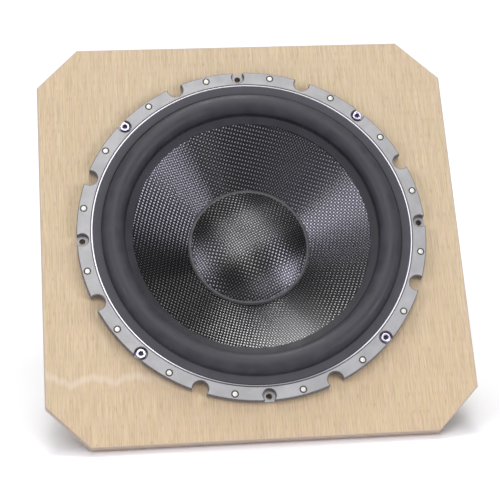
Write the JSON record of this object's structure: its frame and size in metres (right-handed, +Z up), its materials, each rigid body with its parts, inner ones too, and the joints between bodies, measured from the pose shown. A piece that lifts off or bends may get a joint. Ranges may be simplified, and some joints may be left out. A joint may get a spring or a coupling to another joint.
{
  "type": "subwoofer driver on baffle board",
  "caption": "Woven-cone subwoofer driver in a scalloped cast basket, screwed to a square plywood baffle board with cut corners that leans back on its magnet.",
  "frame": {"origin": "centre of the footprint, on the floor, with the board's rear bottom edge and the motor's rear rim both touching it", "axes": "+X to the right across the board, its widest extent; +Y to the rear, the shortest extent; +Z up. The driver faces -Y and leans back 36 degrees"},
  "size_m": [0.38, 0.2962, 0.3144],
  "materials": {
    "plywood": "satin",
    "gasket_foam": "matte",
    "cast_aluminium": "satin",
    "surround_rubber": "satin",
    "spider_cloth": "matte",
    "black_steel": "satin",
    "ferrite": "matte",
    "copper": "satin",
    "phenolic": "matte",
    "carbon_weave": "gloss",
    "former_film": "satin",
    "bright_nickel": "polished",
    "chrome_screw": "polished",
    "zinc_plate": "satin",
    "brass": "satin",
    "tinsel_braid": "satin"
  },
  "bodies": {
    "frame": {"baffle_board": "plywood", "flange_gasket": "gasket_foam", "basket": "cast_aluminium", "grille_magnet_01": "bright_nickel", "grille_magnet_02": "bright_nickel", "grille_magnet_03": "bright_nickel", "grille_magnet_04": "bright_nickel", "grille_magnet_05": "bright_nickel", "grille_magnet_06": "bright_nickel", "grille_magnet_07": "bright_nickel", "grille_magnet_08": "bright_nickel", "grille_magnet_09": "bright_nickel", "grille_magnet_10": "bright_nickel", "grille_magnet_11": "bright_nickel", "grille_magnet_12": "bright_nickel", "grille_magnet_13": "bright_nickel", "grille_magnet_14": "bright_nickel", "grille_magnet_15": "bright_nickel", "grille_magnet_16": "bright_nickel", "mounting_screw_1": "chrome_screw", "tee_nut_1": "zinc_plate", "mounting_screw_2": "chrome_screw", "tee_nut_2": "zinc_plate", "mounting_screw_3": "chrome_screw", "tee_nut_3": "zinc_plate", "mounting_screw_4": "chrome_screw", "tee_nut_4": "zinc_plate", "surround": "surround_rubber", "spider": "spider_cloth", "top_plate": "black_steel", "front_magnet": "ferrite", "rear_magnet": "ferrite", "back_plate": "black_steel", "shorting_sleeve": "copper", "pole_vent_screen": "black_steel", "motor_screw_1": "black_steel", "motor_screw_2": "black_steel", "motor_screw_3": "black_steel", "motor_screw_4": "black_steel", "motor_screw_5": "black_steel", "motor_screw_6": "black_steel", "terminal_block": "phenolic", "terminal_tab_positive": "brass", "terminal_tab_negative": "brass", "tinsel_lead_positive": "tinsel_braid", "tinsel_lead_negative": "tinsel_braid"},
    "cone_assembly": {"cone": "carbon_weave", "dust_cap": "carbon_weave", "voice_coil_former": "former_film", "voice_coil_winding": "copper"}
  },
  "joints": [
    {"name": "cone_travel", "type": "slide", "parent": "frame", "child": "cone_assembly", "axis": [0, -0.8087, 0.5882], "range_m": [-0.014, 0.014], "stiffness_N_per_m": 6000, "deforming": ["surround", "spider", "tinsel_lead_positive", "tinsel_lead_negative"]}
  ]
}
